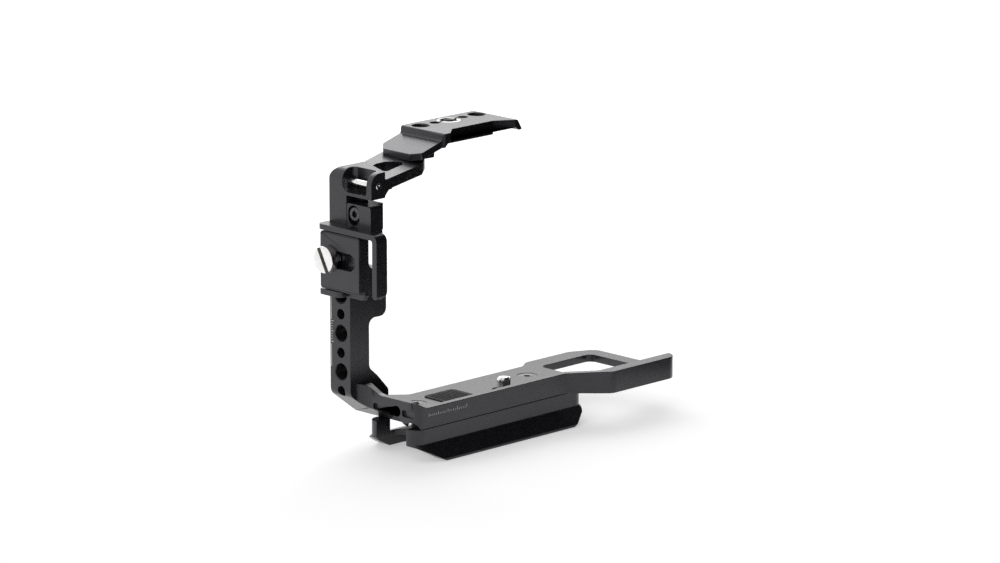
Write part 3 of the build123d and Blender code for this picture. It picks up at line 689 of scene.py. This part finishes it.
def stand(low: Vector, high: Vector, axis: Axis) -> tuple[Vector, Vector, float, float]:
    """Where a round node stands in its box: the low end of its axis, middle, length and radius."""
    middle = (low + high) / 2
    length = (high - low).dot(axis.value)
    radius = max(c for c, w in zip(high - low, axis.value) if w == 0) / 2
    return middle - axis.value * length / 2, middle, length, radius


@dataclass
class MachinedBody:
    """A milled part with its edges eased and its surface finished."""

    node: str
    body: str
    slot: Slot = Slot.ANODISED
    ease: float = 0.22 * MM

    def build(self, face: Material, edge: Material) -> Piece:
        """Makes the eased copy that stands for the node, with a finish for its faces and its edges; a paler
        edge finish paints a highlight along the eased edges.
        """
        piece = welded_copy(self.node, f"{self.node}_milled")
        piece.data.materials.append(face)
        piece.data.materials.append(edge)
        EdgeEaser(self.ease).apply(piece, edge_slot=1)
        keep_inside(piece, *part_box(self.node))
        shade(piece)
        flatten_shading(piece)
        return seat(piece, self.body, self.slot, self.node)


# ---- Threads ----


@dataclass
class ThreadForm:
    """The 60 degree helical ridge of a 1/4"-20 thread."""

    pitch: float = 1.27 * MM
    major: float = 3.175 * MM
    depth: float = 0.60 * MM
    root: float = 0.12 * MM
    fill: float = 0.94
    steps: int = 40

    def tree(self, name: str, axis: Axis, inward: bool) -> Growth:
        """The tree that winds the ridge at each point.

        Args:
            name: the tree's name.
            axis: the thread's axis.
            inward: True in a hole, False on a screw.

        Returns:
            The tree, with the inputs Pitch, Radius, Depth and Length.
        """
        made = Growth(name)
        pitch = made.size("Pitch", self.pitch)
        radius = made.size("Radius", self.major)
        depth = made.size("Depth", self.depth + self.root)
        length = made.size("Length", 8 * MM)
        spiral = {
            "Resolution": self.steps,
            "Rotations": made.sum("DIVIDE", length, pitch),
            "Start Radius": radius,
            "End Radius": radius,
            "Height": length,
        }
        helix = made.make("GeometryNodeCurveSpiral", spiral)
        upright = made.make("GeometryNodeSetCurveNormal", {"Curve": helix}, mode="Z_UP")
        # A triangle in a circle of radius 1 is 1.5 deep and sqrt(3) wide.
        triangle = made.make("GeometryNodeCurvePrimitiveCircle", {"Resolution": 3, "Radius": 1.0})
        wide = made.sum("MULTIPLY", pitch, self.fill / math.sqrt(3))
        deep = made.sum("MULTIPLY", depth, (-1 if inward else 1) / 1.5)
        shape = {"Geometry": triangle, "Scale": made.vector(deep, wide, 1.0)}
        section = made.make("GeometryNodeTransform", shape)
        sweep = {"Curve": upright, "Profile Curve": section, "Fill Caps": True}
        ridge = made.make("GeometryNodeCurveToMesh", sweep)
        made.scatter(ridge, Rotation=tuple(axis.turn().to_euler()))
        return made


@dataclass
class HoleThreads:
    """Threads in the side bar's and the top plate's 1/4"-20 holes."""

    lead: float = 0.55 * MM
    row_y: float = 20.1 * MM
    bar_run: float = 8.9 * MM
    bar_z: tuple[float, ...] = (15.4 * MM, 30.4 * MM)
    boss_run: float = 17.9 * MM
    boss_z: float = 45.4 * MM
    top_run: float = 6.3 * MM
    top_x: tuple[float, ...] = (-15 * MM, 15 * MM)
    top_row_y: float = 29.8 * MM

    def build(self, finishes: Finishes) -> None:
        """Winds the threads and dresses them."""
        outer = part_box("cage_frame")[0].x + self.lead
        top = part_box("top_plate")[1].z - self.lead - self.top_run
        along_bar = ThreadForm().tree("thread_along_x", Axis.X, inward=True)
        upright = ThreadForm().tree("thread_along_z", Axis.Z, inward=True)
        bar = [Vector((outer, self.row_y, z)) for z in self.bar_z]
        boss = [Vector((outer, self.row_y, self.boss_z))]
        plate = [Vector((x, self.top_row_y, top)) for x in self.top_x]
        for name, tree, places, run in (
            ("bar_threads", along_bar, bar, self.bar_run),
            ("boss_thread", along_bar, boss, self.boss_run),
            ("top_plate_threads", upright, plate, self.top_run),
        ):
            piece = tree.grow(name, places, finishes.bore, {"Length": run})
            seat(shade(piece), "cage", Slot.ANODISED)


@dataclass
class ThreadInsert:
    """Steel bushing with the middle top thread, driven by two slots."""

    flange: float = 1.5 * MM
    body_radius: float = 4.0 * MM
    rim: float = 0.35 * MM
    slot_half: float = 0.7 * MM
    slot_depth: float = 0.8 * MM
    thread_from: float = 0.4 * MM
    thread_end: float = 0.9 * MM
    ease: float = 0.08 * MM

    def build(self) -> Piece:
        """Turns the bushing, cuts its slots and winds its thread."""
        low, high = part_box("thread_insert")
        foot, middle, tall, radius = stand(low, high, Axis.Z)
        steel = TurnedSteel(
            "turned_steel_insert", Axis.Z, middle, pale=(0.56, 0.555, 0.54), dark=(0.42, 0.415, 0.40)
        ).material()
        form = ThreadForm()
        bore = form.major
        profile = [
            (bore, 0.0),
            (self.body_radius, 0.0),
            (self.body_radius, tall - self.flange),
            (radius, tall - self.flange),
            (radius, tall - self.rim),
            (radius - 0.3 * self.rim, tall - 0.3 * self.rim),
            (radius - self.rim, tall),
            (bore + self.rim, tall),
            (bore, tall - self.rim),
            (bore, 0.0),
        ]
        bushing = lathe("bushing", profile, Axis.Z, foot)
        reach = Vector((radius * 2, self.slot_half, self.slot_depth))
        top = foot + Axis.Z.value * tall
        cut(bushing, box_mesh("slot", top - reach, top + reach))
        EdgeEaser(self.ease).apply(bushing)
        bushing.data.materials.append(steel)
        start = foot + Axis.Z.value * self.thread_from
        run = tall - self.slot_depth - self.thread_end
        tree = form.tree("thread_in_insert", Axis.Z, inward=True)
        thread = tree.grow("insert_thread", [start], steel, {"Length": run})
        piece = join("thread_insert_turned", [bushing, thread])
        return seat(shade(piece), "cage", Slot.STEEL, "thread_insert")


@dataclass
class TurnedScrew:
    """A 1/4"-20 screw with a slotted round head, head at the low end of its axis."""

    node: str
    body: str
    axis: Axis
    head: float
    thread_from: float
    thread_radius: float
    core: float = 2.5 * MM
    rim: float = 0.4 * MM
    edge: float = 0.25 * MM
    fillet: float = 0.5 * MM
    waist: float = 0.12 * MM
    ease: float = 0.1 * MM
    slot_half: float = 0.9 * MM
    slot_depth: float = 1.5 * MM
    slot_way: Triple = (1.0, 0.0, 0.0)
    end_taper: float = 0.7 * MM

    def profile(self, radius: float, length: float) -> list[Pair]:
        """Half section of head and core, from the head's face."""
        rim, head = self.rim, self.head
        arc = [
            (radius - rim + rim * math.sin(a), rim - rim * math.cos(a))
            for a in (math.radians(d) for d in (0, 22, 45, 68, 90))
        ]
        return [
            (0.0, 0.0),
            *arc,
            (radius, head - self.edge),
            (radius - self.edge, head),
            (self.core + self.fillet, head),
            (self.core + self.waist, head + self.waist),
            (self.core, head + self.fillet),
            (self.core, length - self.end_taper),
            (self.core - self.end_taper, length),
            (0.0, length),
        ]

    def build(self) -> Piece:
        """Turns the screw, cuts its slot and winds its thread."""
        low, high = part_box(self.node)
        start, middle, along, radius = stand(low, high, self.axis)
        steel = TurnedSteel(f"turned_steel_{self.node}", self.axis, middle).material()
        screw = lathe("screw", self.profile(radius, along), self.axis, start)
        self.cut_slot(screw, start, radius)
        EdgeEaser(self.ease).apply(screw)
        screw.data.materials.append(steel)
        screw.data.materials.append(SawnSteelPaintedLight().material())
        run = along - self.thread_from - self.end_taper
        form = ThreadForm(major=self.core - ThreadForm.root, depth=self.thread_radius - self.core)
        tree = form.tree(f"thread_on_{self.node}", self.axis, inward=False)
        foot = start + self.axis.value * self.thread_from
        thread = tree.grow("thread", [foot], steel, {"Length": run})
        piece = join(f"{self.node}_turned", [screw, thread])
        return seat(shade(piece), self.body, Slot.STEEL, self.node)

    def cut_slot(self, screw: Piece, start: Vector, radius: float) -> None:
        """Saws the slot into the head, whose face is at start, and gives it the second material."""
        turn = self.axis.turn()
        local = turn.inverted() @ Vector(self.slot_way)
        reach = Vector((radius * 1.5, self.slot_half, self.slot_depth))
        cutter = box_mesh("slot", -reach, reach)
        angle = math.atan2(local.y, local.x)
        cutter.data.transform(Matrix.Translation(start) @ turn @ Matrix.Rotation(angle, 4, "Z"))
        cut(screw, cutter)
        way = self.axis.value
        across = way.cross(Vector(self.slot_way))
        skin = 0.01 * MM
        for face in screw.data.polygons:
            place = face.center - start
            sunk = skin < place.dot(way) < self.slot_depth + skin
            face.material_index = int(sunk and abs(place.dot(across)) < self.slot_half + skin)


@dataclass
class FlatWasher:
    """Thin turned washer."""

    node: str
    body: str
    axis: Axis
    bore: float
    rim: float = 0.08 * MM

    def build(self) -> Piece:
        """Turns the washer."""
        low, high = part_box(self.node)
        start, middle, thick, radius = stand(low, high, self.axis)
        rim = self.rim
        up = [(self.bore, rim), (self.bore + rim, 0.0), (radius - rim, 0.0), (radius, rim)]
        down = [(r, thick - along) for r, along in reversed(up)]
        piece = lathe(f"{self.node}_turned", [*up, *down, up[0]], self.axis, start)
        steel = TurnedSteel(f"turned_steel_{self.node}", self.axis, middle)
        piece.data.materials.append(steel.material())
        return seat(shade(piece), self.body, Slot.STEEL, self.node)


@dataclass
class StrapPin:
    """Ground steel pin across the strap slot, dimpled at its ends."""

    chamfer: float = 0.25 * MM
    dimple: float = 0.55 * MM
    dimple_depth: float = 0.3 * MM
    lip: float = 0.02 * MM

    def build(self) -> Piece:
        """Turns the pin."""
        low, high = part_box("strap_pin")
        start, middle, length, radius = stand(low, high, Axis.Y)
        ease, dimple = self.chamfer, self.dimple
        profile = [
            (0.0, self.dimple_depth), (dimple, self.lip), (dimple * 1.1, 0.0), (radius - ease, 0.0),
            (radius, ease), (radius, length - ease), (radius - ease, length), (0.0, length),
        ]
        piece = lathe("strap_pin_ground", profile, Axis.Y, start, steps=64)
        steel = TurnedSteel("ground_steel_pin", Axis.Y, middle, roughness=(0.14, 0.24))
        piece.data.materials.append(steel.material())
        return seat(shade(piece), "cage", Slot.STEEL, "strap_pin")


@dataclass
class CountersunkScrews:
    """Countersunk screws with hexagonal sockets: four in the floor, two under the arm."""

    ease: float = 0.07 * MM
    sides: int = 64

    def tree(self, name: str, turn: Triple) -> Growth:
        """The tree that makes one screw at each point, its head up where the turn is zero."""
        made = Growth(name)
        head_radius = made.size("Head Radius", 4 * MM)
        head = made.size("Head Height", 2 * MM)
        shank = made.size("Shank Radius", 2 * MM)
        length = made.size("Length", 9 * MM)
        flats = made.size("Socket Flats", 2.5 * MM)
        depth = made.size("Socket Depth", 1.4 * MM)
        taper = {"Vertices": self.sides, "Radius Top": head_radius, "Radius Bottom": shank, "Depth": head}
        cone = made.make("GeometryNodeMeshCone", taper)
        cone = self.lift(made, cone, made.sum("MULTIPLY", head, -1.0))
        rod_length = made.sum("SUBTRACT", length, made.sum("MULTIPLY", head, 0.5))
        straight = {"Vertices": self.sides, "Radius": shank, "Depth": rod_length}
        rod = made.make("GeometryNodeMeshCylinder", straight)
        rod = self.lift(made, rod, made.sum("SUBTRACT", made.sum("MULTIPLY", rod_length, 0.5), length))
        hexagon = {
            "Vertices": 6,
            "Radius": made.sum("DIVIDE", flats, math.sqrt(3)),
            "Depth": made.sum("MULTIPLY", depth, 2.0),
        }
        key = made.make("GeometryNodeMeshCylinder", hexagon)
        whole = made.node("GeometryNodeMeshBoolean", {"Mesh 2": cone}, operation="UNION", solver="EXACT")
        made.feed(whole.inputs["Mesh 2"], rod)
        solids = {"Mesh 1": whole.outputs["Mesh"], "Mesh 2": key}
        holed = made.make("GeometryNodeMeshBoolean", solids, operation="DIFFERENCE", solver="EXACT")
        made.scatter(holed, Rotation=turn)
        return made

    def lift(self, made: Growth, geometry: Socket, height: Socket) -> Socket:
        """Moves geometry along its axis."""
        shift = {"Geometry": geometry, "Translation": made.vector(z=height)}
        return made.make("GeometryNodeTransform", shift)

    def build(self, finishes: Finishes) -> None:
        """Makes each set of like screws where its nodes are."""
        floor = {"Head Height": 2.05, "Shank Radius": 2, "Socket Flats": 2.5, "Socket Depth": 1.4}
        arm = {"Head Height": 1.6, "Shank Radius": 1.5, "Socket Flats": 2, "Socket Depth": 1.1}
        for name, count, turn, millimetres in (
            ("plate_screw", 4, 0.0, floor),
            ("top_plate_screw", 2, math.pi, arm),
        ):
            nodes = [f"{name}_{i + 1}" for i in range(count)]
            boxes = [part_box(node) for node in nodes]
            places = [
                Vector(((low.x + high.x) / 2, (low.y + high.y) / 2, low.z if turn else high.z))
                for low, high in boxes
            ]
            low, high = boxes[0]
            sizes = {key: value * MM for key, value in millimetres.items()}
            sizes["Head Radius"] = (high.x - low.x) / 2
            sizes["Length"] = min(high.z - low.z for low, high in boxes)
            tree = self.tree(f"{name}s_tree", (turn, 0.0, 0.0))
            piece = tree.grow(f"{name}s", places, finishes.oxide, sizes)
            EdgeEaser(self.ease).apply(piece)
            seat(shade(piece), "cage", Slot.OXIDE, *nodes)


@dataclass
class RibbedPad:
    """Rubber pad with low rounded ribs on the face that meets the camera."""

    node: str
    facing: Axis
    rib_pitch: float = 1.6 * MM
    rib_radius: float = 0.5 * MM
    backing: float = 0.6
    sink: float = 0.9
    ease: float = 0.1 * MM

    def build(self, finishes: Finishes) -> Piece:
        """Makes the pad from a backing and a row of ribs."""
        low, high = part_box(self.node)
        way = self.facing.value
        thick = abs((high - low).dot(way))
        backing = welded_copy(self.node, "backing")
        for vert in backing.data.vertices:
            along = vert.co.dot(way) - low.dot(way)
            vert.co -= way * along * (1 - self.backing)
        EdgeEaser(self.ease).apply(backing)
        backing.data.materials.append(finishes.rubber)
        ribs = self.ribs(low, high, thick, finishes)
        piece = join(f"{self.node}_moulded", [backing, ribs])
        return seat(shade(piece), "cage", Slot.RUBBER, self.node)

    def ribs(self, low: Vector, high: Vector, thick: float, finishes: Finishes) -> Piece:
        """A row of capsule ribs that run across the pad."""
        made = Growth(f"ribs_of_{self.node}")
        length = made.size("Length", 10 * MM)
        radius = made.size("Radius", self.rib_radius)
        height = made.size("Height", thick)
        bar = made.make("GeometryNodeMeshCylinder", {"Vertices": 16, "Radius": radius, "Depth": length})
        lay = {"Geometry": bar, "Rotation": (math.pi / 2, 0.0, 0.0)}
        laid = made.make("GeometryNodeTransform", lay)
        squash = {"Geometry": laid, "Scale": made.vector(1.0, 1.0, made.sum("DIVIDE", height, radius))}
        flat = self.facing is Axis.Z
        rib = made.make("GeometryNodeTransform", squash)
        made.scatter(rib, Rotation=(0.0, 0.0 if flat else math.pi / 2, 0.0))
        margin = self.rib_pitch
        run = (high.x - low.x) if flat else (high.z - low.z)
        count = int((run - 2 * margin) / self.rib_pitch) + 1
        offsets = [(i - (count - 1) / 2) * self.rib_pitch for i in range(count)]
        middle = (low + high) / 2
        sunk = self.backing * self.sink
        if flat:
            places = [Vector((middle.x + o, middle.y, low.z + thick * sunk)) for o in offsets]
        else:
            places = [Vector((low.x + thick * sunk, middle.y, middle.z + o)) for o in offsets]
        values = {"Length": (high.y - low.y) - 2 * margin, "Height": thick * (1 - sunk)}
        return made.grow("ribs", places, finishes.rubber, values)


@dataclass
class LaserMarks:
    """Plain lines and a scale on the side bar, and a scale on the base's rear rim."""

    line: float = 0.32 * MM
    proud: float = 0.012 * MM
    bar_y: float = 25.25 * MM
    bar_lines: tuple[Pair, ...] = ((35.2 * MM, 47.6 * MM), (16.9 * MM, 25.6 * MM))
    bar_scale: Pair = (26.6 * MM, 34.2 * MM)
    rim_scale: Pair = (-53.0 * MM, -33.0 * MM)
    rim_z: float = 1.6 * MM
    rim_y: float = -13.2 * MM
    step: float = 1.0 * MM
    short: float = 0.7 * MM
    tall: float = 1.3 * MM

    def tree(self) -> Growth:
        """The tree that lays a thin block of the stroke's size at each point."""
        made = Growth("laser_strokes")
        stroke = made.make("GeometryNodeInputNamedAttribute", {"Name": "stroke"}, data_type="FLOAT_VECTOR")
        block = made.make("GeometryNodeMeshCube", {"Size": (1.0, 1.0, 1.0)})
        made.scatter(block, Scale=stroke)
        return made

    def scale(self, ends: Pair, every: int) -> list[Pair]:
        """Place and length of each line of a scale, with a long one every so many."""
        low, high = ends
        steps = round((high - low) / self.step)
        return [(low + i * self.step, self.short if i % every else self.tall) for i in range(steps + 1)]

    def build(self, finishes: Finishes) -> Piece:
        """Marks the bar and the rim."""
        deep = 2 * self.proud
        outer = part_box("cage_frame")[0].x
        places, strokes = [], []
        for low, high in self.bar_lines:
            places.append(Vector((outer, self.bar_y, (low + high) / 2)))
            strokes.append(Vector((deep, self.line, high - low)))
        for z, wide in self.scale(self.bar_scale, 4):
            places.append(Vector((outer, self.bar_y + self.line / 2 - wide / 2, z)))
            strokes.append(Vector((deep, wide, self.line * 0.9)))
        for x, high in self.scale(self.rim_scale, 5):
            places.append(Vector((x, self.rim_y, self.rim_z + high / 2)))
            strokes.append(Vector((self.line, deep, high)))
        piece = self.tree().grow("laser_marks", places, finishes.mark, strokes=strokes)
        return seat(piece, "cage", Slot.ANODISED)


# ---- Studio ----


@dataclass
class Studio:
    """Pale floor, one soft box, a black card, the surroundings and the camera."""

    floor_half: float = 4.0
    floor_drop: float = 0.05 * MM
    floor_tints: tuple[Colour, Colour] = ((0.80, 0.80, 0.805), (0.82, 0.82, 0.82))
    floor_cloud: float = 0.15
    heading: float = math.radians(45)
    pitch: float = math.radians(13.397)
    camera_place: Triple = (-1.4293, -1.4273, 0.5238)
    lens: float = 195.2
    sensor: float = 36.0
    key_way: Triple = (0.50, 0.62, 0.60)
    key_distance: float = 1.0
    key_size: Pair = (1.0, 0.7)
    key_power: float = 4.2
    glow: float = 0.42
    flag_way: Pair = (0.7071, -0.7071)
    flag_gap: float = 0.125
    flag_half: float = 0.6
    flag_height: float = 0.36
    felt_tints: tuple[Colour, Colour] = ((0.004, 0.004, 0.004), (0.008, 0.008, 0.008))
    felt_grain: float = 0.01
    dark_way: Triple = (0.5, -0.86, 0.10)
    dark_turn: Pair = (0.0, 0.45)
    dark_glow: float = 0.03

    def build(self) -> None:
        """Makes the floor, the lights, the surroundings and the camera."""
        self.floor()
        self.flag()
        self.key()
        self.surroundings()
        self.camera()
        bpy.context.scene.view_settings.view_transform = "Standard"

    def floor(self) -> None:
        """White sweep under the cage, staged."""
        low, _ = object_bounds()
        level, half = low.z - self.floor_drop, self.floor_half
        paint = Painter("studio_floor")
        paint.tree.nodes.remove(paint.surface)
        tint = paint.blend(paint.noise(self.floor_cloud), *self.floor_tints)
        matte = paint.make("ShaderNodeBsdfDiffuse", {"Color": tint})
        glow = paint.make("ShaderNodeEmission", {"Color": (1, 1, 1, 1), "Strength": self.glow})
        lifted = paint.make("ShaderNodeAddShader", {0: matte, 1: glow})
        rays = paint.node("ShaderNodeLightPath", {}).outputs
        seen = rays["Is Camera Ray"]
        for other in ("Is Glossy Ray", "Is Transmission Ray"):
            seen = paint.make("ShaderNodeMath", {0: seen, 1: rays[other]}, operation="MAXIMUM")
        paint.show(paint.make("ShaderNodeMixShader", {0: seen, 1: matte, 2: lifted}))
        corners = [(-half, -half, level), (half, -half, level), (half, half, level), (-half, half, level)]
        floor = sheet("studio_floor", corners, paint.material)
        floor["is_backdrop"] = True

    def flag(self) -> None:
        """Black card that only reflections see, standing on the grip side behind the cage."""
        low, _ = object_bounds()
        way = Vector((*self.flag_way, 0.0))
        along = Vector((-way.y, way.x, 0.0))
        foot = way * self.flag_gap + Vector((0.0, 0.0, low.z))
        top = Vector((0.0, 0.0, self.flag_height))
        side = along * self.flag_half
        corners = [foot - side, foot + side, foot + side + top, foot - side + top]
        paint = Painter("studio_flag")
        felt = paint.blend(paint.noise(self.felt_grain), *self.felt_tints)
        material = paint.finish(Base_Color=felt, Roughness=0.9, Specular_IOR_Level=0.1)
        card = sheet("studio_flag", corners, material)
        card.visible_camera = card.visible_diffuse = card.visible_shadow = False
        card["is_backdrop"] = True

    def key(self) -> None:
        """Large soft box above and beyond the cage."""
        light = bpy.data.lights.new("soft_box", "AREA")
        light.shape = "RECTANGLE"
        light.size, light.size_y = self.key_size
        light.energy = self.key_power
        lamp = new_piece("soft_box", light)
        way = Vector(self.key_way).normalized()
        low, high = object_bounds()
        lamp.location = (low + high) / 2 + way * self.key_distance
        lamp.rotation_euler = way.to_track_quat("Z", "Y").to_euler()

    def surroundings(self) -> None:
        """World that falls from white to nearly black on the grip side behind, white to the camera."""
        world = bpy.data.worlds.new("studio")
        world.use_nodes = True
        sky = NodeTree(world.node_tree)
        sky.tree.nodes.clear()
        place = sky.node("ShaderNodeTexCoord", {}).outputs["Generated"]
        side = sky.node("ShaderNodeVectorMath", {0: place, 1: self.dark_way}, operation="DOT_PRODUCT")
        start, end = self.dark_turn
        fade = {"Value": side.outputs["Value"], "From Min": start, "From Max": end}
        fade |= {"To Min": 1.0, "To Max": self.dark_glow}
        fall = sky.make("ShaderNodeMapRange", fade, interpolation_type="SMOOTHSTEP")
        rays = sky.node("ShaderNodeLightPath", {}).outputs
        strength = sky.make("ShaderNodeMix", {0: rays["Is Camera Ray"], 2: fall, 3: 1.0})
        glow = sky.make("ShaderNodeBackground", {"Color": (1, 1, 1, 1), "Strength": strength})
        sky.node("ShaderNodeOutputWorld", {"Surface": glow})
        bpy.context.scene.world = world

    def camera(self) -> None:
        """Long lens from the left rear, slightly above."""
        data = bpy.data.cameras.new("camera")
        data.lens = self.lens
        data.sensor_width = self.sensor
        eye = new_piece("camera", data)
        aim = Euler((math.pi / 2 - self.pitch, 0.0, -self.heading)).to_matrix()
        eye.matrix_world = Matrix.Translation(self.camera_place) @ aim.to_4x4()
        bpy.context.scene.camera = eye


def main() -> None:
    """Builds the cage's pieces in order, then the studio."""
    logging.basicConfig(level=logging.INFO, format="%(name)s: %(message)s")
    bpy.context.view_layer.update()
    finishes = Finishes()
    for node in ("cage_frame", "top_plate", "quick_release_plate", "cable_clamp_bracket", "clamp_jaw"):
        body = "jaw" if node == "clamp_jaw" else "cage"
        MachinedBody(node, body).build(finishes.anodised, finishes.edge)
    for node in ("bracket_screw", "screw_retaining_ring"):
        MachinedBody(node, "cage", Slot.OXIDE, 0.1 * MM).build(finishes.oxide, finishes.oxide)
    HoleThreads().build(finishes)
    ThreadInsert().build()
    TurnedScrew(
        "clamp_thumbscrew", "thumbscrew", Axis.X, head=3.05 * MM, thread_from=4.2 * MM,
        thread_radius=3.1 * MM, slot_way=(0.0, math.sin(SLOT_TILT), math.cos(SLOT_TILT)),
    ).build()
    TurnedScrew(
        "camera_screw", "camera_screw", Axis.Z, head=2.6 * MM, thread_from=8.65 * MM,
        thread_radius=3.15 * MM, slot_depth=1.3 * MM,
    ).build()
    FlatWasher("thumbscrew_washer", "thumbscrew_washer", Axis.X, 3.18 * MM).build()
    FlatWasher("camera_screw_washer", "camera_screw_washer", Axis.Z, 3.24 * MM).build()
    StrapPin().build()
    CountersunkScrews().build(finishes)
    for node, facing in (("seat_pad_left", Axis.Z), ("seat_pad_right", Axis.Z), ("side_pad", Axis.X)):
        RibbedPad(node, facing).build(finishes)
    LaserMarks().build(finishes)
    for name in ("plate_dowel_1", "plate_dowel_2"):
        low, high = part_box(name)
        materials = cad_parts[name].data.materials
        materials.clear()
        materials.append(TurnedSteel(f"ground_steel_{name}", Axis.Z, (low + high) / 2).material())
    Studio().build()


if __name__ == "__main__":
    main()
